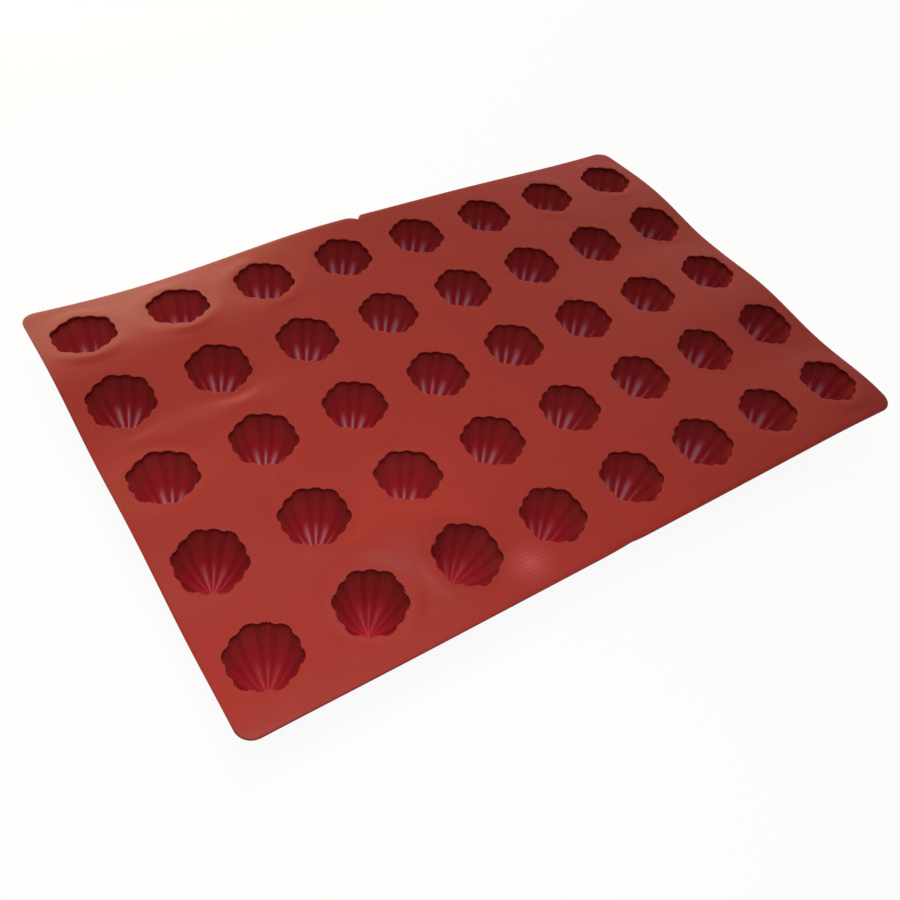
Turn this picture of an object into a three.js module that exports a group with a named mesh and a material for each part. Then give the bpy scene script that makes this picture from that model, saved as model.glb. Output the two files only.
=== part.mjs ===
// Silicone hazelnut mould: a soft baking sheet in two halves that meet at a crease across the middle,
// with nut-shaped cups hanging below it in rows and columns. The mould stands on the feet of its cups.
// Millimetres, +Z up, X along the sheet, Y across it. The origin is on the table below the sheet's middle.

import * as THREE from "three";

// Mouth of a cup: wide lobes with a narrow band between each pair, and a notch at each change
const LOBE_COUNT = 6;
const LOBE_REACH = 25.7; // cup axis to the edge of a wide lobe
const BAND_REACH = 24.5; // cup axis to the edge of a narrow band
const NOTCH_REACH = 23.6; // cup axis to the bottom of a notch
const NOTCH_ANGLE = THREE.MathUtils.degToRad(18); // middle of a wide lobe to the notch beside it
const SHOULDER_ANGLE = THREE.MathUtils.degToRad(8); // middle of a wide lobe to its shoulder

// Nut shape of a cup, below the sheet
const NUT_DEPTH = 47; // underside of the sheet to the tip, inside
const NUT_FULLNESS = 1.3; // above 1 the wall starts straight down from the mouth
const TIP_TAPER = 0.7; // 0.5 ends the nut in a round bowl, 1 in a straight cone
const CUP_WALL = 2;
const FOOT_THICKNESS = 2; // silicone below the tip
const FOOT_RADIUS = 4; // flat that the cup stands on
const RING_SHARES = [0.35, 0.68, 0.9]; // of the nut's depth, where its curve is broken into flats

// Sheet and the pattern of its mouths
const SHEET_THICKNESS = 2.5;
const COLUMNS_PER_HALF = 4;
const ROWS = 5;
const COLUMN_WEB = 24.1; // flat between two neighbouring mouths of a row
const ROW_WEB = 25.6; // flat between two neighbouring mouths of a column
const END_RIM = 10.05; // flat outside the last column of mouths
const SIDE_RIM = 20.3; // flat outside the first and last row of mouths
const CORNER_RADIUS = 12;
const CORNER_STEPS = 3; // pairs of flats around each rounded corner
const CREASE_GAP = 0.3; // between the halves, where the silicone bends
const CREASE_BACK_RADIUS = 5; // rounded corners of the halves, which leave a notch in the back edge
const CREASE_FRONT_RADIUS = 1.5;

const SILICONE_RED = 0x932829;
const SHEET_ROUGHNESS = 0.55; // satin, as the press leaves it
const CUP_ROUGHNESS = 0.4; // a little glossier, from the polished nut dies

const columnPitch = 2 * LOBE_REACH + COLUMN_WEB;
const rowPitch = 2 * LOBE_REACH + ROW_WEB;
const halfLength = columnPitch * (COLUMNS_PER_HALF - 0.5) + LOBE_REACH + END_RIM;
const halfWidth = (rowPitch * (ROWS - 1)) / 2 + LOBE_REACH + SIDE_RIM;
const cupHeight = FOOT_THICKNESS + NUT_DEPTH;

const sector = (2 * Math.PI) / LOBE_COUNT;
const lobes = Array.from({ length: LOBE_COUNT }, (_, lobe) => (lobe + 0.5) * sector);

// Mouth outline, counter-clockwise: for each lobe the band before it, a notch, two shoulders and a notch
const mouthOutline = lobes.flatMap((middle) => [
  { angle: middle - sector / 2, reach: BAND_REACH },
  { angle: middle - NOTCH_ANGLE, reach: NOTCH_REACH },
  { angle: middle - SHOULDER_ANGLE, reach: LOBE_REACH },
  { angle: middle + SHOULDER_ANGLE, reach: LOBE_REACH },
  { angle: middle + NOTCH_ANGLE, reach: NOTCH_REACH },
]);

// Plainer outline with one point for each band and lobe, moved out by a wall
const crownOutline = (wall) => lobes.flatMap((middle) => [
  { angle: middle - sector / 2, reach: BAND_REACH + wall },
  { angle: middle, reach: LOBE_REACH + wall },
]);

// Share of the mouth's reach that is left at a depth, for a nut that comes to a point at tipDepth
function taper(depth, tipDepth) {
  return (1 - (depth / tipDepth) ** NUT_FULLNESS) ** TIP_TAPER;
}

function ring(outline, scale, z) {
  return outline.map(({ angle, reach }) => [
    scale * reach * Math.cos(angle),
    scale * reach * Math.sin(angle),
    z,
  ]);
}

// Closed skin over a run of rings that all turn the same way. A ring of one point is a tip or a centre.
// Where two neighbouring rings differ in count, each step advances the ring that lags behind.
function skin(rings) {
  const triangles = [];
  let first = 0;
  for (let k = 0; k + 1 < rings.length; k += 1) {
    const [from, to] = [rings[k], rings[k + 1]];
    const next = first + from.length;
    const fromSteps = from.length > 1 ? from.length : 0;
    const toSteps = to.length > 1 ? to.length : 0;
    let i = 0;
    let j = 0;
    while (i < fromSteps || j < toSteps) {
      const a = first + (i % from.length);
      const b = next + (j % to.length);
      if (j >= toSteps || (i < fromSteps && (i + 1) * toSteps <= (j + 1) * fromSteps)) {
        i += 1;
        triangles.push(a, first + (i % from.length), b);
      } else {
        j += 1;
        triangles.push(a, next + (j % to.length), b);
      }
    }
    first = next;
  }
  const geometry = new THREE.BufferGeometry();
  geometry.setAttribute("position", new THREE.Float32BufferAttribute(rings.flat(2), 3));
  geometry.setIndex(triangles);
  geometry.computeVertexNormals();
  return geometry;
}

// One cup, standing on its foot at z = 0 with its rim against the underside of the sheet.
// The skin runs from the foot up the outside, over the rim and down the inside to the tip.
function cupGeometry() {
  const outside = crownOutline(CUP_WALL);
  const foot = outside.map(({ angle }) => ({ angle, reach: FOOT_RADIUS }));
  const footShare = (FOOT_RADIUS / (LOBE_REACH + CUP_WALL)) ** (1 / TIP_TAPER);
  const outsideTipDepth = cupHeight / (1 - footShare) ** (1 / NUT_FULLNESS);
  const outsideRing = (depth) => ring(outside, taper(depth, outsideTipDepth), cupHeight - depth);
  const insideRing = (outline, depth) => ring(outline, taper(depth, NUT_DEPTH), cupHeight - depth);
  const [upper, lower, tip] = RING_SHARES.map((share) => share * NUT_DEPTH);
  return skin([
    [[0, 0, 0]],
    ring(foot, 1, 0),
    outsideRing(lower),
    outsideRing(upper),
    outsideRing(0),
    insideRing(mouthOutline, 0),
    insideRing(mouthOutline, upper),
    insideRing(mouthOutline, lower),
    insideRing(crownOutline(0), tip),
    [[0, 0, FOOT_THICKNESS]],
  ]);
}

function roundedRectangle(x0, x1, y0, y1, radii) {
  const quarter = Math.PI / 2;
  const outline = new THREE.Shape();
  outline.absarc(x0 + radii.frontLeft, y0 + radii.frontLeft, radii.frontLeft, 2 * quarter, 3 * quarter);
  outline.absarc(x1 - radii.frontRight, y0 + radii.frontRight, radii.frontRight, 3 * quarter, 4 * quarter);
  outline.absarc(x1 - radii.backRight, y1 - radii.backRight, radii.backRight, 0, quarter);
  outline.absarc(x0 + radii.backLeft, y1 - radii.backLeft, radii.backLeft, quarter, 2 * quarter);
  outline.closePath();
  return outline;
}

// One half of the sheet, pierced by the mouths of its cups
function sheetGeometry(side, centres) {
  const crease = CREASE_GAP / 2;
  const outline = side === "left"
    ? roundedRectangle(-halfLength, -crease, -halfWidth, halfWidth, {
      frontLeft: CORNER_RADIUS,
      frontRight: CREASE_FRONT_RADIUS,
      backRight: CREASE_BACK_RADIUS,
      backLeft: CORNER_RADIUS,
    })
    : roundedRectangle(crease, halfLength, -halfWidth, halfWidth, {
      frontLeft: CREASE_FRONT_RADIUS,
      frontRight: CORNER_RADIUS,
      backRight: CORNER_RADIUS,
      backLeft: CREASE_BACK_RADIUS,
    });
  outline.holes = centres.map(({ x, y }) => new THREE.Path(
    mouthOutline.map(({ angle, reach }) => new THREE.Vector2(
      x + reach * Math.cos(angle),
      y + reach * Math.sin(angle),
    )),
  ));
  return new THREE.ExtrudeGeometry(outline, {
    depth: SHEET_THICKNESS,
    bevelEnabled: false,
    curveSegments: CORNER_STEPS,
  });
}

function siliconePiece(name, geometry, roughness, position) {
  const material = new THREE.MeshStandardMaterial({ color: SILICONE_RED, roughness, metalness: 0 });
  const piece = new THREE.Mesh(geometry, material);
  piece.name = name;
  piece.position.copy(position);
  return piece;
}

// Cup centres of one half, with rows counted from the back edge and columns from the left end
function cupPlaces(side) {
  const firstColumn = side === "left" ? 1 : COLUMNS_PER_HALF + 1;
  const places = [];
  for (let row = 1; row <= ROWS; row += 1) {
    for (let column = firstColumn; column < firstColumn + COLUMNS_PER_HALF; column += 1) {
      places.push({
        name: `cup_r${row}_c${column}`,
        x: (column - COLUMNS_PER_HALF - 0.5) * columnPitch,
        y: ((ROWS + 1) / 2 - row) * rowPitch,
      });
    }
  }
  return places;
}

function halfMould(side) {
  const half = new THREE.Group();
  const places = cupPlaces(side);
  const onCups = new THREE.Vector3(0, 0, cupHeight);
  half.add(siliconePiece(`sheet_${side}`, sheetGeometry(side, places), SHEET_ROUGHNESS, onCups));
  for (const { name, x, y } of places) {
    half.add(siliconePiece(name, cupGeometry(), CUP_ROUGHNESS, new THREE.Vector3(x, y, 0)));
  }
  return half;
}

const mould = new THREE.Group();
mould.add(halfMould("left"), halfMould("right"));

export default mould;
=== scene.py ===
# Silicone hazelnut mould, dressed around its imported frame: one slack sheet that bends at a crease
# across the middle, and forty nut-shaped cups that hang below it.
# Shapes are worked out in millimetres and stored in metres.

import bpy
import numpy as np
from mathutils import Matrix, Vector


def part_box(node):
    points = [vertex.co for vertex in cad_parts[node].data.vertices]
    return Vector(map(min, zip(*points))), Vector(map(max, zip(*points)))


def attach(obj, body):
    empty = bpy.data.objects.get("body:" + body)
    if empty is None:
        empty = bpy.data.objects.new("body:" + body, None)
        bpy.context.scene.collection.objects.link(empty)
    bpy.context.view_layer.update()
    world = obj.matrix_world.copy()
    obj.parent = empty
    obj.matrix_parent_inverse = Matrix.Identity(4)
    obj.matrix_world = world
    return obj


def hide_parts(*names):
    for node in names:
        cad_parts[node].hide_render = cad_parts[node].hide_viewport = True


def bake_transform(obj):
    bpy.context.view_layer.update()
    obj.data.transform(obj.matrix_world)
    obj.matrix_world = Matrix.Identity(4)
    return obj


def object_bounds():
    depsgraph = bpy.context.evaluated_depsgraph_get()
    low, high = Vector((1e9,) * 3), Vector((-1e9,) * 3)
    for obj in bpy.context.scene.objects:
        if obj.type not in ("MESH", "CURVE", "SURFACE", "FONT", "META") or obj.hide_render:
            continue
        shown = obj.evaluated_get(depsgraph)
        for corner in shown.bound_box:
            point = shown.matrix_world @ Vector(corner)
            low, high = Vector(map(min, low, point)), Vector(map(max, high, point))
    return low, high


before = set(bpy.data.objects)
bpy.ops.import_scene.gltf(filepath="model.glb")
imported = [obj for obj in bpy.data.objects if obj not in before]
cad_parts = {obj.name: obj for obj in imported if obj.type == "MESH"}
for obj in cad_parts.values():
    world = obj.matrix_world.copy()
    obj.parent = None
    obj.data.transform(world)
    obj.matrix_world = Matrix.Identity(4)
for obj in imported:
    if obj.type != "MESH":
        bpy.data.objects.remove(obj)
cad_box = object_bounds()

# Camera: held high over the front left corner, looking down across the sheet, and rolled a little to
# the right. The image is square, so the sensor's width is also its height.
MM = 0.001
AIM = np.array([-72.4, -70.2, cad_box[1][2] / MM])  # point of the top face in the middle of the image
AIM_DISTANCE = 688.4
CAMERA_AZIMUTH = np.radians(-42.82)
CAMERA_ELEVATION = np.radians(50.11)
CAMERA_ROLL = np.radians(12.49)
LENS_LENGTH = 37.09
SENSOR_WIDTH = 36.0


def pose(across, upward, backward, place):
    """Object matrix from its own x, y and z axes, as unit vectors, and its place in millimetres."""
    matrix = np.eye(4)
    matrix[:3] = np.stack([across, upward, backward, np.multiply(place, MM)], axis=1)
    return Matrix(matrix.tolist())


camera = bpy.data.objects.new("camera", bpy.data.cameras.new("camera"))
bpy.context.scene.collection.objects.link(camera)
bpy.context.scene.camera = camera
camera.data.lens = LENS_LENGTH
camera.data.sensor_width = SENSOR_WIDTH
level = np.array([np.cos(CAMERA_AZIMUTH), np.sin(CAMERA_AZIMUTH), 0.0])
backward = np.cos(CAMERA_ELEVATION) * np.array([level[1], -level[0], 0.0])
backward[2] = np.sin(CAMERA_ELEVATION)
upward = np.cross(backward, level)
camera.matrix_world = pose(
    np.cos(CAMERA_ROLL) * level + np.sin(CAMERA_ROLL) * upward,
    np.cos(CAMERA_ROLL) * upward - np.sin(CAMERA_ROLL) * level,
    backward,
    AIM + AIM_DISTANCE * backward,
)

# Sheet: two half sheets of brick-red silicone, pressed flat around the mouths of the cups and vulcanised
# together edge to edge, with a notch in the back edge and a dent in the front edge at the join. It lies
# slack on its cups: its ends ripple, it swells between some cups and it droops at its margins.
sheet_corners = np.array([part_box("sheet_left"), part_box("sheet_right")]) / MM
HALF_LENGTH, HALF_WIDTH, SHEET_TOP = sheet_corners[:, 1].max(axis=0)
SHEET_THICKNESS = SHEET_TOP - sheet_corners[:, 0, 2].min()

cup_names = sorted(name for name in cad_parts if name.startswith("cup_"))  # row by row from the back
cup_boxes = np.array([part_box(name) for name in cup_names]) / MM
cup_centres = cup_boxes.mean(axis=1)[:, :2]
column_places = np.unique(cup_centres[:, 0].round(3))
row_places = np.unique(cup_centres[:, 1].round(3))
ROW_PITCH = row_places[1] - row_places[0]

# Ripple along the sheet's ends, with a crest and a trough in turn between the rows
RIPPLE_LENGTH = 2 * ROW_PITCH
RIPPLE_CREST = -ROW_PITCH / 2
LEFT_RIPPLE, LEFT_RIPPLE_REACH = 2.6, 65.0
RIGHT_RIPPLE, RIGHT_RIPPLE_REACH = 2.2, 90.0

# Swellings and, where the height is negative, hollows: place x, y, height, reach along x, reach along y
SWELLINGS = [
    (-134, -121, 8.0, 38, 29),  # between the third cups of the two front rows
    (-195, 124, 3.8, 58, 29),  # behind the second row, on the left
    (-203, 34, 2.0, 38, 11),  # short fold behind the third row, on the left
    (245, 25, 1.2, 40, 12),  # short fold behind the third row, on the right
    (-40, 215, 1.6, 40, 40),  # back margin, left of the join
    (-205, 235, -16.0, 75, 36),  # back left margin hangs
    (255, 240, -9.0, 85, 30),  # back right margin hangs
    (308, -222, -6.0, 40, 30),  # front right corner hangs
]


def bell(distance, half_width):
    """Bell curve: e to the power of minus half the square of distance over half width."""
    return np.exp(-((distance / half_width) ** 2) / 2)


def lie(x, y):
    """Height of the slack sheet over a flat one: a cosine along y, whose height fades inwards from each
    end as a bell curve along x, plus a mound for each swelling, a bell curve along both."""
    ends = LEFT_RIPPLE * bell(x + HALF_LENGTH, LEFT_RIPPLE_REACH)
    ends = ends + RIGHT_RIPPLE * bell(x - HALF_LENGTH, RIGHT_RIPPLE_REACH)
    height = ends * np.cos(2 * np.pi * (y - RIPPLE_CREST) / RIPPLE_LENGTH)
    for place_x, place_y, swell, reach_x, reach_y in SWELLINGS:
        height = height + swell * bell(x - place_x, reach_x) * bell(y - place_y, reach_y)
    return height


# Each cup is stiff, so its rim stays in one plane: the one that fits the lie best on a circle around
# the mouth. A foot can't sink into the table, so no rim lies lower than on a flat sheet.
FIT_RADIUS = 27.0
FIT_POINTS = 24
fit_turn = 2 * np.pi * np.arange(FIT_POINTS) / FIT_POINTS
fit_x = cup_centres[:, :1] + FIT_RADIUS * np.cos(fit_turn)
fit_y = cup_centres[:, 1:] + FIT_RADIUS * np.sin(fit_turn)
fit_height = lie(fit_x, fit_y)
rim_height = np.maximum(fit_height.mean(axis=1), 0)
rim_slope_x = 2 * (fit_height * np.cos(fit_turn)).mean(axis=1) / FIT_RADIUS
rim_slope_y = 2 * (fit_height * np.sin(fit_turn)).mean(axis=1) / FIT_RADIUS
STIFF_REACH, SLACK_REACH = 28.5, 37.0  # from the cup's axis: end of the plane, start of the lie


def ease(value, start, end):
    """Goes from 0 at start to 1 at end, level at both, as 3 t squared less 2 t cubed."""
    t = np.clip((value - start) / (end - start), 0, 1)
    return t * t * (3 - 2 * t)


def settle(cup, x, y, depth):
    """Place in the frame of a point of the flat mould, a depth below its top face. Near a cup the point
    keeps to the plane of that cup's rim, with depth square to the plane. Further out it eases into the
    sheet's lie."""
    from_x, from_y = x - cup_centres[cup, 0], y - cup_centres[cup, 1]
    stiff = 1 - ease(np.hypot(from_x, from_y), STIFF_REACH, SLACK_REACH)
    slope_x, slope_y = rim_slope_x[cup], rim_slope_y[cup]
    plane = rim_height[cup] + slope_x * from_x + slope_y * from_y
    upright = 1 / np.sqrt(1 + stiff * (slope_x**2 + slope_y**2))
    height = stiff * plane + (1 - stiff) * lie(x, y)
    return np.stack([
        x + stiff * slope_x * upright * depth,
        y + stiff * slope_y * upright * depth,
        SHEET_TOP + height - upright * depth,
    ], axis=-1)


# Mouth of a cup: six wide lobes and six narrow bands in turn, each an arc of its own circle, with small
# notches where the lines of the nut begin. Its wall goes down through the sheet and a little way into
# the cup, and leans back under the lip.
CUP_WALL = 2.0
LOBES = 6
LOBE_TURN = 2 * np.pi / LOBES
LOBE_REACH = np.ptp(cup_boxes[0, :, 1]) / 2 - CUP_WALL
LOBE_RADIUS = 8.8
BAND_INSET = 1.2
BAND_REACH = LOBE_REACH - BAND_INSET
BAND_RADIUS = 9.5
MOUTH_WALL = 2.8
UNDERCUT = 1.2

# Lines of the nut on each side of a wide lobe: degrees from its middle, height, half width in degrees
NUT_LINES = np.array([
    (1.8, 0.55, 0.7),
    (7.0, 0.75, 0.7),
    (13.6, 1.05, 0.8),
    (17.5, 0.90, 0.8),  # where lobe and band meet
    (21.6, 1.00, 0.8),
    (26.5, 0.80, 0.7),
])


def from_middle(angle, first):
    """Turn from the nearest of six even places around the cup, the first of which lies at an angle."""
    return np.mod(angle - first + LOBE_TURN / 2, LOBE_TURN) - LOBE_TURN / 2


def arc_reach(turn, reach, radius):
    """Distance from the cup's axis to an arc, at a turn from the arc's middle. The circle's centre lies
    reach less radius from the axis: that times the cosine of the turn, plus the side that is left of
    the circle's right triangle."""
    centre = reach - radius
    return centre * np.cos(turn) + np.sqrt(radius**2 - (centre * np.sin(turn)) ** 2)


def lobe_reach(angle):
    """Distance from the cup's axis to the further of the nearest wide lobe and narrow band."""
    return np.maximum(
        arc_reach(from_middle(angle, LOBE_TURN / 2), LOBE_REACH, LOBE_RADIUS),
        arc_reach(from_middle(angle, 0), BAND_REACH, BAND_RADIUS),
    )


def line_height(angle):
    """Height of the lines at a turn round the cup, a bell curve for each."""
    from_lobe = np.abs(np.degrees(from_middle(angle, LOBE_TURN / 2)))
    turn, height, half_width = NUT_LINES.T
    return (height * bell(from_lobe[:, None] - turn, half_width)).sum(axis=-1)


def mouth_reach(angle):
    """Distance from the cup's axis to the mouth's edge: the lobes and bands, less the lines."""
    return lobe_reach(angle) - line_height(angle)


# Outline of the sheet, with the notch and the dent, whose widths differ on the two sides of the join
CORNER_RADIUS = 12.0
NOTCH_DEPTH, NOTCH_LEFT, NOTCH_RIGHT, NOTCH_REACH = 5.0, 12.0, 6.0, 30.0
DENT_DEPTH, DENT_LEFT, DENT_RIGHT, DENT_REACH = 0.8, 30.0, 14.0, 15.0


def join_edges(x, y):
    """Flat place y with the notch and the dent at the join drawn in: each is a depth that falls off with
    the square of the distance from the join, and it fades towards the inside of the sheet."""
    notch_width = np.where(x < 0, NOTCH_LEFT, NOTCH_RIGHT)
    notch = NOTCH_DEPTH * np.clip(1 - np.abs(x) / notch_width, 0, 1) ** 2
    dent_width = np.where(x < 0, DENT_LEFT, DENT_RIGHT)
    dent = DENT_DEPTH * np.clip(1 - np.abs(x) / dent_width, 0, 1) ** 2
    y = y - notch * ease(y, HALF_WIDTH - NOTCH_REACH, HALF_WIDTH)
    return y + dent * ease(-y, HALF_WIDTH - DENT_REACH, HALF_WIDTH)


# The sheet's skin is forty cells, one around each mouth. A cell runs in rings from the mouth's lower
# edge, up over its lip, across the top, round the sheet's edge where the cell has one, and back below.
# Each ring gives the share of the way from mouth to cell edge, how far it is drawn out from the mouth,
# how far it is drawn in from the sheet's edge, and its depth.
LIP = 0.25
EDGE_ROUND = 0.6
HALF_WAY = 1 - np.sqrt(0.5)  # share of a quarter round's radius that is cut off half way round
UNDER_LEAN = UNDERCUT * SHEET_THICKNESS / MOUTH_WALL
TOP_SHARES = [0.0, 0.05, 0.12, 0.22, 0.36, 0.52, 0.68, 0.84, 1.0]
UNDER_SHARES = [1.0, 0.55, 0.1]
mouth_rings = [(0, UNDER_LEAN, 0, SHEET_THICKNESS), (0, 0, 0, LIP), (0, HALF_WAY * LIP, 0, HALF_WAY * LIP)]
top_rings = [(share, LIP, EDGE_ROUND, 0) for share in TOP_SHARES]
edge_rings = [
    (1, LIP, HALF_WAY * EDGE_ROUND, HALF_WAY * EDGE_ROUND),
    (1, LIP, 0, EDGE_ROUND),
    (1, LIP, 0, SHEET_THICKNESS - EDGE_ROUND),
    (1, LIP, HALF_WAY * EDGE_ROUND, SHEET_THICKNESS - HALF_WAY * EDGE_ROUND),
]
under_rings = [(share, LIP, EDGE_ROUND, SHEET_THICKNESS) for share in UNDER_SHARES]
rings = np.array(mouth_rings + top_rings + edge_rings + under_rings)
first_edge_ring = len(mouth_rings + top_rings) - 1
last_edge_ring = len(rings) - len(under_rings)

# Each ring has a point at every line of the nut and one between each two lines
line_turns = np.sort(np.concatenate([-NUT_LINES[:, 0], NUT_LINES[:, 0]]))
next_turns = np.append(line_turns[1:], line_turns[0] + np.degrees(LOBE_TURN))
lobe_turns = np.radians(np.stack([line_turns, (line_turns + next_turns) / 2], axis=-1).ravel())
ring_turns = (lobe_turns + LOBE_TURN * (np.arange(LOBES)[:, None] - 0.5)).ravel()
RING_POINTS = len(ring_turns)
POINTS_PER_SIDE = RING_POINTS // 4
CORNER_CROWDING = 0.1  # draws the points of a cell's side towards its corners


def sheet_skin():
    """Rings of every cell in the frame, as an array (cell, ring, point, 3), and which points lie on the
    sheet's edge. Each point of the mouth is paired with one on the rim of the cell's rectangle, and a
    ring lies a share of the way along the straight line between them."""
    between_columns = (column_places[1:] + column_places[:-1]) / 2
    between_rows = (row_places[1:] + row_places[:-1]) / 2
    column_edges = np.concatenate([[-HALF_LENGTH], between_columns, [HALF_LENGTH]])
    row_edges = np.concatenate([[-HALF_WIDTH], between_rows, [HALF_WIDTH]])
    column = np.searchsorted(column_edges, cup_centres[:, :1]) - 1
    row = np.searchsorted(row_edges, cup_centres[:, 1:]) - 1
    left, right = column_edges[column], column_edges[column + 1]
    front, back = row_edges[row], row_edges[row + 1]
    point = np.arange(RING_POINTS)
    side = point // POINTS_PER_SIDE
    run = point % POINTS_PER_SIDE / POINTS_PER_SIDE
    run = run - CORNER_CROWDING * np.sin(2 * np.pi * run)
    sides = [side == 0, side == 1, side == 2]
    rim_x = np.select(sides, [right, right + (left - right) * run, left], left + (right - left) * run)
    rim_y = np.select(sides, [front + (back - front) * run, back, back + (front - back) * run], front)
    on_edge = (np.abs(rim_x) > HALF_LENGTH - LIP) | (np.abs(rim_y) > HALF_WIDTH - LIP)
    core_x = np.clip(rim_x, CORNER_RADIUS - HALF_LENGTH, HALF_LENGTH - CORNER_RADIUS)
    core_y = np.clip(rim_y, CORNER_RADIUS - HALF_WIDTH, HALF_WIDTH - CORNER_RADIUS)
    out_x, out_y = rim_x - core_x, rim_y - core_y
    out = np.maximum(np.hypot(out_x, out_y), LIP)
    out_x, out_y = np.where(on_edge, out_x / out, 0), np.where(on_edge, out_y / out, 0)
    rim_x = np.where(on_edge, core_x + CORNER_RADIUS * out_x, rim_x)
    rim_y = np.where(on_edge, core_y + CORNER_RADIUS * out_y, rim_y)

    corner_point = np.argmin(np.abs(ring_turns + np.pi / 4))  # the one nearest to the cell's first corner
    angle = np.roll(ring_turns, -corner_point)
    share, lip, inset, depth = (rings[:, k, None] for k in range(4))
    reach = mouth_reach(angle) + lip
    mouth_x = cup_centres[:, 0, None, None] + reach * np.cos(angle)
    mouth_y = cup_centres[:, 1, None, None] + reach * np.sin(angle)
    x = mouth_x + share * (rim_x[:, None] - inset * out_x[:, None] - mouth_x)
    y = mouth_y + share * (rim_y[:, None] - inset * out_y[:, None] - mouth_y)
    cell = np.arange(len(cup_centres))[:, None, None]
    return settle(cell, x, join_edges(x, y), depth), on_edge


def ring_faces(ring, next_ring, points):
    """Corner numbers of the four-sided faces between rings of the same count, whose first points' numbers
    are given as arrays."""
    here = np.arange(points)
    there = (here + 1) % points
    ring, next_ring = np.asarray(ring)[..., None], np.asarray(next_ring)[..., None]
    return np.stack([ring + here, next_ring + here, next_ring + there, ring + there], axis=-1)


def fan_faces(ring, centre, points):
    """Corner numbers of the three-sided faces between a ring and a point in its middle."""
    here = np.arange(points)
    return np.stack([ring + here, ring + (here + 1) % points, np.full(points, centre)], axis=-1)


def smooth_piece(name, points, quads, fans=()):
    """Mesh object from points in millimetres, four-sided faces and, where a ring closes on a point,
    three-sided ones."""
    mesh = bpy.data.meshes.new(name)
    corners = np.concatenate([np.ravel(quads), np.ravel(fans)]).astype(np.int32)
    quad_count = np.size(quads) // 4
    fan_count = np.size(fans) // 3
    starts = np.concatenate([4 * np.arange(quad_count), 4 * quad_count + 3 * np.arange(fan_count)])
    mesh.vertices.add(len(points))
    mesh.vertices.foreach_set("co", (points * MM).astype(np.float32).ravel())
    mesh.loops.add(len(corners))
    mesh.loops.foreach_set("vertex_index", corners)
    mesh.polygons.add(len(starts))
    mesh.polygons.foreach_set("loop_start", starts.astype(np.int32))
    mesh.update(calc_edges=True)
    mesh.shade_smooth()
    piece = bpy.data.objects.new(name, mesh)
    bpy.context.scene.collection.objects.link(piece)
    return piece


skin, on_edge = sheet_skin()
cells, ring_count = skin.shape[:2]
ring_start = RING_POINTS * np.arange(cells * ring_count).reshape(cells, ring_count)
bands = ring_faces(ring_start, np.roll(ring_start, -1, axis=1), RING_POINTS)
edge_run = on_edge & np.roll(on_edge, -1, axis=1)
shown = np.ones(bands.shape[:3], bool)
shown[:, first_edge_ring:last_edge_ring] = edge_run[:, None]
points, twin = np.unique(skin.reshape(-1, 3).round(4), axis=0, return_inverse=True)  # merges shared edges
sheet = smooth_piece("sheet", points, twin.reshape(-1)[bands[shown]])


def to_linear(hex_colour):
    """Linear RGBA of an sRGB colour written as six hex digits, by the standard's two-part curve."""
    srgb = np.array([int(hex_colour[k:k + 2], 16) for k in (1, 3, 5)]) / 255
    linear = np.where(srgb <= 0.04045, srgb / 12.92, ((srgb + 0.055) / 1.055) ** 2.4)
    return (*linear.tolist(), 1.0)


def add_node(tree, kind, inputs=(), **settings):
    """Adds a node with its settings. Inputs pairs a socket with a value or the output that feeds it."""
    node = tree.nodes.new(kind)
    for name, value in settings.items():
        setattr(node, name, value)
    for socket, value in dict(inputs).items():
        if isinstance(value, bpy.types.NodeSocket):
            tree.links.new(value, node.inputs[socket])
        else:
            node.inputs[socket].default_value = value
    return node


SILICONE_IOR = 1.41


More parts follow.
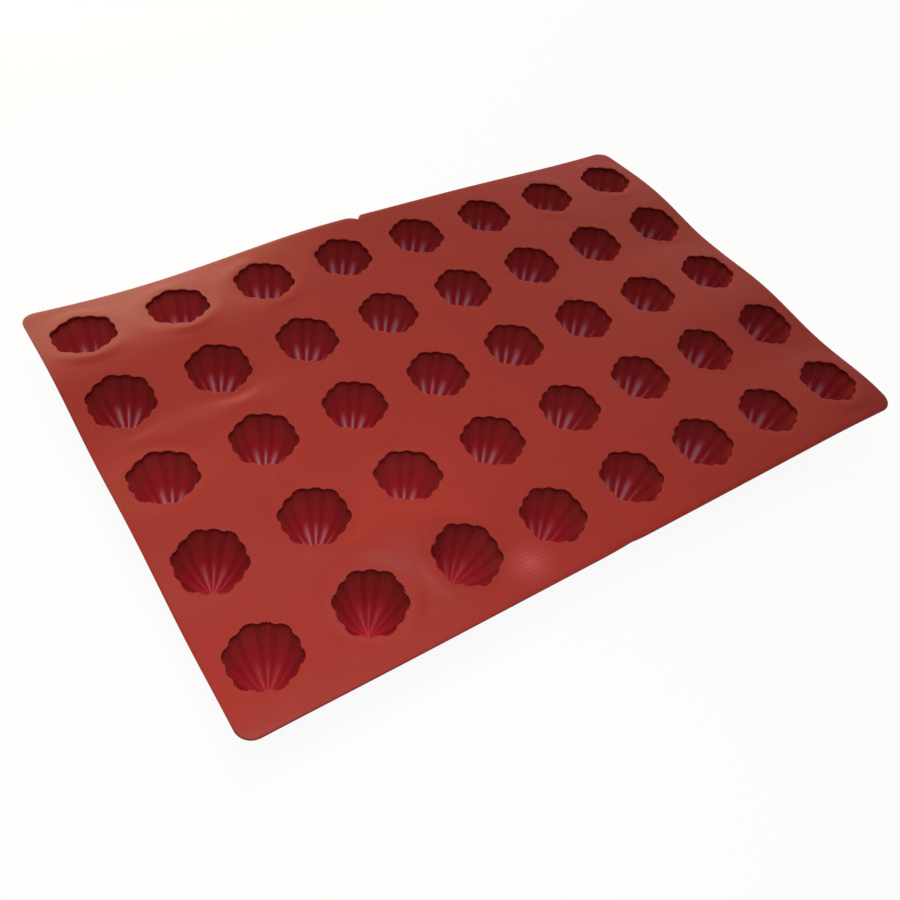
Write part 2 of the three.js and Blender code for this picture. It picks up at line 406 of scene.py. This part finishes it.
def pressed_silicone():
    """Platinum-cured silicone, pressed between satin steel plates: an even brick red with a soft, broad
    gloss. The eye sees faint clouding of the pigment, a few pale specks of dust, a fine grain, and a
    painted highlight on the front margin: a pale pink sheen patch, striped by press lines."""
    cloud_width = 70
    grain_width = 9
    dust_spacing = 60
    dust_core, dust_edge = 0.006, 0.010  # radii as shares of the spacing
    # Place and reach of the painted highlight on the front margin
    sheen_x, sheen_y, sheen_reach_x, sheen_reach_y = -77, -179, 26, 22
    press_line_spacing = 3.2
    wave_turn = 20  # radians that the Wave node turns in a unit
    material = bpy.data.materials.new("pressed_silicone")
    material.use_nodes = True
    tree = material.node_tree
    shader = tree.nodes["Principled BSDF"]
    place = add_node(tree, "ShaderNodeTexCoord").outputs["Object"]
    clouds = add_node(tree, "ShaderNodeTexNoise", {
        "Vector": place, "Scale": 1 / (cloud_width * MM), "Detail": 3.0,
    })
    pigment = add_node(tree, "ShaderNodeMix", {
        "Factor": clouds.outputs["Fac"], "A": to_linear("#8f2521"), "B": to_linear("#992621"),
    }, data_type="RGBA")
    specks = add_node(tree, "ShaderNodeTexVoronoi", {
        "Vector": place, "Scale": 1 / (dust_spacing * MM),
    }, voronoi_dimensions="2D")
    speck = add_node(tree, "ShaderNodeMapRange", {
        "Value": specks.outputs["Distance"], "From Min": dust_edge, "From Max": dust_core, "To Max": 0.18,
    })
    colour = add_node(tree, "ShaderNodeMix", {
        "Factor": speck.outputs["Result"], "A": pigment.outputs["Result"], "B": to_linear("#d9a295"),
    }, data_type="RGBA")
    # Painted highlight: a pale pink sheen patch on the front margin, striped by the press lines, mixed into
    # the colour
    sheen_place = add_node(tree, "ShaderNodeMapping", {
        "Vector": place,
        "Location": (-sheen_x / sheen_reach_x, -sheen_y / sheen_reach_y, 0),
        "Scale": (1 / (sheen_reach_x * MM), 1 / (sheen_reach_y * MM), 0),
    })
    painted_sheen = add_node(tree, "ShaderNodeTexGradient", {"Vector": sheen_place.outputs["Vector"]},
                     gradient_type="QUADRATIC_SPHERE")
    press_lines = add_node(tree, "ShaderNodeTexWave", {
        "Vector": place, "Scale": 2 * np.pi / (wave_turn * press_line_spacing * MM),
    }, bands_direction="Y")
    pale = add_node(tree, "ShaderNodeMapRange", {
        "Value": press_lines.outputs["Fac"], "To Min": 0.45, "To Max": 0.75,
    })
    striped_sheen = add_node(tree, "ShaderNodeMath", {
        0: painted_sheen.outputs["Fac"], 1: pale.outputs["Result"],
    }, operation="MULTIPLY")
    colour = add_node(tree, "ShaderNodeMix", {
        "Factor": striped_sheen.outputs["Value"], "A": colour.outputs["Result"], "B": to_linear("#bd5661"),
    }, data_type="RGBA")
    tree.links.new(colour.outputs["Result"], shader.inputs["Base Color"])
    grain = add_node(tree, "ShaderNodeTexNoise", {
        "Vector": place, "Scale": 1 / (grain_width * MM), "Detail": 4.0,
    })
    gloss = add_node(tree, "ShaderNodeMapRange", {
        "Value": grain.outputs["Fac"], "To Min": 0.46, "To Max": 0.56,
    })
    tree.links.new(gloss.outputs["Result"], shader.inputs["Roughness"])
    bump = add_node(tree, "ShaderNodeBump", {
        "Height": grain.outputs["Fac"], "Strength": 0.15, "Distance": 0.2 * MM,
    })
    tree.links.new(bump.outputs["Normal"], shader.inputs["Normal"])
    shader.inputs["IOR"].default_value = SILICONE_IOR
    shader.inputs["Specular IOR Level"].default_value = 0.3
    return material


sheet.data.materials.append(pressed_silicone())
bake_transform(sheet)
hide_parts("sheet_left", "sheet_right")

# Cups: forty thin nut shapes of the same silicone, moulded in one with the sheet against polished dies.
# Lines run from the mouth to the tip: a ridge below each notch and finer ones between them. A small flat
# foot below the tip stands on the table.
FOOT_RADIUS = 4.0
FOOT_THICKNESS = 1.0
NUT_DEPTH = SHEET_TOP - FOOT_THICKNESS - MOUTH_WALL  # end of the straight wall to the tip
NUT_FULLNESS = 1.22  # above 1 the nut starts straight down from the wall
NUT_TAPER = 0.65  # 0.5 ends the nut in a round bowl, 1 in a straight cone
ROOT_FILLET = 1.5  # outside, where the cup's wall runs into the sheet
INSIDE_RINGS = 28
OUTSIDE_RINGS = 16
POINT_SPLIT = 3  # points of a cup's ring for each one of the sheet's
ring_ends = np.append(ring_turns, ring_turns[0] + 2 * np.pi)
split_places = np.arange(POINT_SPLIT * RING_POINTS) / POINT_SPLIT
cup_turns = np.interp(split_places, np.arange(RING_POINTS + 1), ring_ends)
CUP_POINTS = len(cup_turns)


def nut_share(share):
    """Share of the mouth's reach that is left at a share of the nut's depth: one less that share to the
    power of the fullness, all to the power of the taper."""
    return (1 - share**NUT_FULLNESS) ** NUT_TAPER


def cup_skin():
    """Reach and depth below the sheet's top of the cup's rings: from the foot up the outside, over the
    rim and down the inside to the tip. Inside, the mouth's outline with its lines shrinks with depth.
    Outside, a plainer outline, half way to a circle, ends on the foot's circle and widens at the root
    with the square of the nearness to the sheet. Rings crowd at both ends, as a cosine does."""
    mouth = mouth_reach(cup_turns)
    down = (1 - np.cos(np.pi * np.linspace(0, 1, INSIDE_RINGS + 1)[:-1, None])) / 2
    inside = (mouth + UNDERCUT) * nut_share(down)
    inside_depth = MOUTH_WALL + NUT_DEPTH * down
    rim = mouth[None] + UNDER_LEAN
    up = (1 + np.cos(np.pi * np.linspace(0, 1, OUTSIDE_RINGS + 1)[:, None])) / 2
    cup_height = SHEET_TOP - SHEET_THICKNESS
    plain = (lobe_reach(cup_turns) + LOBE_REACH) / 2 + CUP_WALL
    outside = FOOT_RADIUS + (plain - FOOT_RADIUS) * nut_share(up)
    outside = outside + ROOT_FILLET * np.clip(1 - cup_height * up / (2 * ROOT_FILLET), 0, 1) ** 2
    outside_depth = SHEET_THICKNESS + cup_height * up
    reach = np.concatenate([outside, rim, inside])
    depth = np.concatenate([outside_depth, [[SHEET_THICKNESS]], inside_depth])
    return reach, np.broadcast_to(depth, reach.shape)


reach, depth = cup_skin()
cup_rings = len(reach)
cup_starts = CUP_POINTS * np.arange(cup_rings)
cup_bands = ring_faces(cup_starts[:-1], cup_starts[1:], CUP_POINTS)
foot_centre = reach.size
tip = foot_centre + 1
cup_fans = np.concatenate([
    fan_faces(0, foot_centre, CUP_POINTS),
    fan_faces(cup_starts[-1], tip, CUP_POINTS)[:, [1, 0, 2]],
])

# UV map of a cup: the turn round its axis as a share of the whole turn, and the share of the way along
# the rings
turn_here = cup_turns / (2 * np.pi)
turn_there = np.append(cup_turns[1:], ring_ends[-1]) / (2 * np.pi)
along = np.broadcast_to(np.arange(cup_rings)[:, None] / cup_rings, reach.shape)
band_runs = np.stack([along[:-1], along[1:], along[1:], along[:-1]], axis=-1)
band_turns = np.stack([turn_here, turn_here, turn_there, turn_there], axis=-1)
fan_turns = np.stack([turn_here, turn_there, turn_here], axis=-1)
cup_map = np.concatenate([
    np.stack([np.broadcast_to(band_turns, band_runs.shape), band_runs], axis=-1).reshape(-1, 2),
    np.stack([fan_turns, np.zeros_like(fan_turns)], axis=-1).reshape(-1, 2),
    np.stack([fan_turns[:, [1, 0, 2]], np.ones_like(fan_turns)], axis=-1).reshape(-1, 2),
])


def polished_silicone():
    """The same silicone, moulded against polished nut dies inside. The outside keeps the sheet's red.
    Inside, its red is painted lighter than the sheet's, and lighter and more saturated towards the tip, as
    painted light from bounces in the cup. The eye sees hair lines that the die's polishing left along the
    nut, painted shade in the lines and under the lip, and a painted highlight: pale streaks near the
    bottom, streaked by the hair lines."""
    red_shallow, red_deep = 5, 30  # depths between which the painted light makes the red lighter and more saturated
    hair_spacing = 1.6  # at the mouth; finer on the real die, drawn as coarse as it needs to show
    material = bpy.data.materials.new("polished_silicone")
    material.use_nodes = True
    tree = material.node_tree
    shader = tree.nodes["Principled BSDF"]
    coordinates = add_node(tree, "ShaderNodeTexCoord")
    height = add_node(tree, "ShaderNodeSeparateXYZ", {"Vector": coordinates.outputs["Object"]}).outputs["Z"]
    # Painted light: the inside's red is lighter than the sheet's, and lighter and more saturated with
    # depth, for light that bounces in the cup
    deep = add_node(tree, "ShaderNodeMapRange", {
        "Value": height,
        "From Min": (SHEET_TOP - red_shallow) * MM,
        "From Max": (SHEET_TOP - red_deep) * MM,
    })
    pigment = add_node(tree, "ShaderNodeMix", {
        "Factor": deep.outputs["Result"], "A": to_linear("#a23635"), "B": to_linear("#ad2834"),
    }, data_type="RGBA")
    # Painted light: the outside keeps the sheet's red, the inside takes the lighter red above
    inside_painted_light = add_node(tree, "ShaderNodeAttribute", attribute_name="inside_painted_light").outputs["Fac"]
    pigment = add_node(tree, "ShaderNodeMix", {
        "Factor": inside_painted_light, "A": to_linear("#942621"), "B": pigment.outputs["Result"],
    }, data_type="RGBA")
    # Painted shade: the colour darkens to brown in the lines of the nut and under the lip
    painted_shade = add_node(tree, "ShaderNodeAttribute", attribute_name="painted_shade").outputs["Fac"]
    pigment = add_node(tree, "ShaderNodeMix", {
        "Factor": painted_shade, "A": pigment.outputs["Result"], "B": to_linear("#571518"),
    }, data_type="RGBA")
    turn = add_node(tree, "ShaderNodeSeparateXYZ", {"Vector": coordinates.outputs["UV"]}).outputs["X"]
    hairs = add_node(tree, "ShaderNodeTexNoise", {
        "W": turn, "Scale": 2 * np.pi * LOBE_REACH / hair_spacing, "Detail": 2.0,
    }, noise_dimensions="1D")
    # Painted highlight: pale lavender streaks mixed into the colour, streaked by the hair lines
    painted_highlight = add_node(tree, "ShaderNodeAttribute", attribute_name="painted_highlight").outputs["Fac"]
    streaky = add_node(tree, "ShaderNodeMapRange", {
        "Value": hairs.outputs["Fac"], "From Min": 0.35, "From Max": 0.65, "To Min": 0.3, "To Max": 0.95,
    })
    highlight_share = add_node(tree, "ShaderNodeMath", {
        0: painted_highlight, 1: streaky.outputs["Result"],
    }, operation="MULTIPLY")
    colour = add_node(tree, "ShaderNodeMix", {
        "Factor": highlight_share.outputs["Value"], "A": pigment.outputs["Result"], "B": to_linear("#c9b9cc"),
    }, data_type="RGBA")
    tree.links.new(colour.outputs["Result"], shader.inputs["Base Color"])
    shader.inputs["Roughness"].default_value = 0.4
    shader.inputs["Specular IOR Level"].default_value = 0.15
    bump = add_node(tree, "ShaderNodeBump", {
        "Height": hairs.outputs["Fac"], "Strength": 0.07, "Distance": 0.25 * MM,
    })
    tree.links.new(bump.outputs["Normal"], shader.inputs["Normal"])
    shader.inputs["IOR"].default_value = SILICONE_IOR
    return material


# Painted highlight: pale streaks at the bottom of the cups, painted into the colour. They lie on the wall
# that faces the front left, down the middle of each lobe and band, and grow with depth. Near the front left
# corner they are fainter and start deeper.
HIGHLIGHT_TURN, HIGHLIGHT_SPREAD = 62.0, 36.0  # middle and half width of the facing wall, in degrees round the cup
LOBE_STREAK, BAND_STREAK = 4.8, 2.8  # half widths in degrees
FAINT_START, FULL_START, HIGHLIGHT_RISE = 29.0, 18.0, 11.0  # depths, and depth from a start to full strength
START_NEAR, START_FAR = 200.0, 440.0  # from the corner, where the start is that of the faint and of the full highlight
FAINT_STRENGTH = 0.2
FAINT_REACH, FULL_REACH = 110.0, 185.0  # from the front edge, plus a share of the way from the left end
END_SHARE = 0.35
inner = np.arange(cup_rings)[:, None] > OUTSIDE_RINGS
# Where the painted highlight lies round the cup
streaks = np.maximum(
    bell(np.degrees(from_middle(cup_turns, LOBE_TURN / 2)), LOBE_STREAK),
    bell(np.degrees(from_middle(cup_turns, 0)), BAND_STREAK),
)
from_highlight_turn = np.mod(np.degrees(cup_turns) - HIGHLIGHT_TURN + 180, 360) - 180
highlight_place = streaks * bell(from_highlight_turn, HIGHLIGHT_SPREAD) * inner


def highlight_strength(number):
    """Strength of the painted highlight at each point of a cup, with the foot's centre and the tip last:
    the bell curves of its place, eased in with depth, times the cup's greatest strength, which eases in
    with the way from the front."""
    from_end, from_front = cup_centres[number] + (HALF_LENGTH, HALF_WIDTH)
    farness = ease(np.hypot(from_end, from_front), START_NEAR, START_FAR)
    start = FAINT_START + (FULL_START - FAINT_START) * farness
    strength_share = ease(from_front + END_SHARE * from_end, FAINT_REACH, FULL_REACH)
    most = FAINT_STRENGTH + (1 - FAINT_STRENGTH) * strength_share
    highlight_share = most * ease(depth, start, start + HIGHLIGHT_RISE) * highlight_place
    return np.append(highlight_share.ravel(), [0, most]).astype(np.float32)


# Painted shade: the colour is darkened to brown in the lines of the nut, growing with depth, and on the
# wall under the lip, where shade falls. The growth is counted from above the sheet, so that some shows at
# the mouth too.
LINE_SHADE, LINE_SHADE_TOP, LINE_SHADE_FULL = 0.3, -10.0, 25.0
LIP_SHADE, LIP_SHADE_FULL, LIP_SHADE_END = 0.5, 2.5, 6.5
shade_in_lines = LINE_SHADE * line_height(cup_turns) * ease(depth, LINE_SHADE_TOP, LINE_SHADE_FULL)
shade_under_lip = LIP_SHADE * (1 - ease(depth, LIP_SHADE_FULL, LIP_SHADE_END))
painted_shade = np.append(((shade_in_lines + shade_under_lip) * inner).ravel(), [0, 0]).astype(np.float32)
# Mask of the inside's painted light: 1 on the inside and at the tip, 0 outside and at the foot's centre
inside_painted_light = np.append(np.broadcast_to(inner, reach.shape).ravel(), [0, 1]).astype(np.float32)
nut_silicone = polished_silicone()
for number, name in enumerate(cup_names):
    centre_x, centre_y = cup_centres[number]
    wall = settle(number, centre_x + reach * np.cos(cup_turns), centre_y + reach * np.sin(cup_turns), depth)
    end_depths = np.array([SHEET_TOP, SHEET_TOP - FOOT_THICKNESS])
    ends = settle(number, np.full(2, centre_x), np.full(2, centre_y), end_depths)
    cup = smooth_piece(f"nut_{name}", np.concatenate([wall.reshape(-1, 3), ends]), cup_bands, cup_fans)
    cup.data.uv_layers.new(name="nut").uv.foreach_set("vector", cup_map.astype(np.float32).ravel())
    cup.data.attributes.new("painted_highlight", "FLOAT", "POINT").data.foreach_set("value", highlight_strength(number))
    cup.data.attributes.new("painted_shade", "FLOAT", "POINT").data.foreach_set("value", painted_shade)
    cup.data.attributes.new("inside_painted_light", "FLOAT", "POINT").data.foreach_set("value", inside_painted_light)
    cup.data.materials.append(nut_silicone)
    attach(cup, "left_half" if centre_x < 0 else "right_half")
    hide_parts(name)

# Table and light: a white table that sweeps up into a wall all round. A lamp hangs from the ceiling and a
# soft box over the front left corner, with a small window behind the camera, a lit wall on the right and
# a low, yellowish window behind the mould that shines along its back margin.
FLOOR_RADIUS, SWEEP_RADIUS, WALL_HEIGHT = 4000.0, 800.0, 2400.0
ROOM_POINTS, SWEEP_STEPS = 96, 12
sweep = np.linspace(0, np.pi / 2, SWEEP_STEPS + 1)
room_reach = np.append(FLOOR_RADIUS + SWEEP_RADIUS * (np.sin(sweep) - 1), FLOOR_RADIUS)[:, None]
room_height = np.append(SWEEP_RADIUS * (1 - np.cos(sweep)), WALL_HEIGHT)[:, None]
room_turns = 2 * np.pi * np.arange(ROOM_POINTS) / ROOM_POINTS
room_x, room_y = room_reach * np.cos(room_turns), room_reach * np.sin(room_turns)
room = np.stack([room_x, room_y, np.broadcast_to(room_height, room_x.shape)], axis=-1)
room_starts = ROOM_POINTS * np.arange(len(room))
floor = smooth_piece(
    "floor",
    np.concatenate([room.reshape(-1, 3), np.zeros((1, 3))]),
    ring_faces(room_starts[1:], room_starts[:-1], ROOM_POINTS),
    fan_faces(0, room_x.size, ROOM_POINTS),
)


def table_paint():
    """Matt white paint. To the camera, and in reflections, most of it glows at the white of the page, so
    that the table stays white all over and still takes the mould's shadow."""
    page_share = 0.93
    material = bpy.data.materials.new("white_table_paint")
    material.use_nodes = True
    tree = material.node_tree
    shader = tree.nodes["Principled BSDF"]
    shader.inputs["Base Color"].default_value = to_linear("#f4f4f3")
    shader.inputs["Roughness"].default_value = 0.9
    path = add_node(tree, "ShaderNodeLightPath")
    seen = add_node(tree, "ShaderNodeMath", {
        0: path.outputs["Is Camera Ray"], 1: path.outputs["Is Glossy Ray"],
    }, operation="MAXIMUM")
    seen = add_node(tree, "ShaderNodeMath", {
        0: seen.outputs["Value"], 1: path.outputs["Is Transmission Ray"],
    }, operation="MAXIMUM")
    page = add_node(tree, "ShaderNodeMath", {
        0: seen.outputs["Value"], 1: page_share,
    }, operation="MULTIPLY")
    white = add_node(tree, "ShaderNodeEmission", {"Color": to_linear("#ffffff"), "Strength": 1.0})
    mix = add_node(tree, "ShaderNodeMixShader", {
        0: page.outputs["Value"], 1: shader.outputs["BSDF"], 2: white.outputs["Emission"],
    })
    tree.links.new(mix.outputs["Shader"], tree.nodes["Material Output"].inputs["Surface"])
    return material


floor.data.materials.append(table_paint())


def soft_lamp(name, place, target, size, power, colour, beam=180):
    """Rectangular area light at a place, facing a target, with its size in millimetres, its power in watts
    and the full angle of its beam in degrees."""
    lamp = bpy.data.lights.new(name, "AREA")
    lamp.shape = "RECTANGLE"
    lamp.size, lamp.size_y = size[0] * MM, size[1] * MM
    lamp.energy = power
    lamp.spread = np.radians(beam)
    lamp.color = to_linear(colour)[:3]
    holder = bpy.data.objects.new(name, lamp)
    bpy.context.scene.collection.objects.link(holder)
    away = np.subtract(place, target) / np.linalg.norm(np.subtract(place, target))
    across = np.cross([0, 1, 0], away)
    across = across / np.linalg.norm(across)
    holder.matrix_world = pose(across, np.cross(away, across), away, place)


WARM_WHITE, COOL_WHITE, SAND, STRAW = "#fff7e6", "#dfe4ff", "#ffebc8", "#ffecbe"
soft_lamp("ceiling_lamp", (50, 250, 2600), (0, 0, 50), (500, 500), 18.2, WARM_WHITE)
soft_lamp("soft_box", (-330, -280, 1000), (-260, -200, 0), (500, 500), 0.82, WARM_WHITE, beam=60)
soft_lamp("camera_window", (-582, -620, 1350), (-72, -70, 50), (300, 300), 2.4, COOL_WHITE)
soft_lamp("right_wall", (1570, 995, 1400), (200, 0, 50), (1800, 1200), 9.4, SAND)
soft_lamp("back_window", (-270, 1500, 480), (-200, 190, 50), (1550, 900), 18.5, STRAW)

ROOM_LIGHT = 0.04
world = bpy.data.worlds.new("room")
bpy.context.scene.world = world
world.use_nodes = True
background = world.node_tree.nodes["Background"]
background.inputs["Color"].default_value = to_linear("#fffcf6")
background.inputs["Strength"].default_value = ROOM_LIGHT
bpy.context.scene.view_settings.view_transform = "Standard"
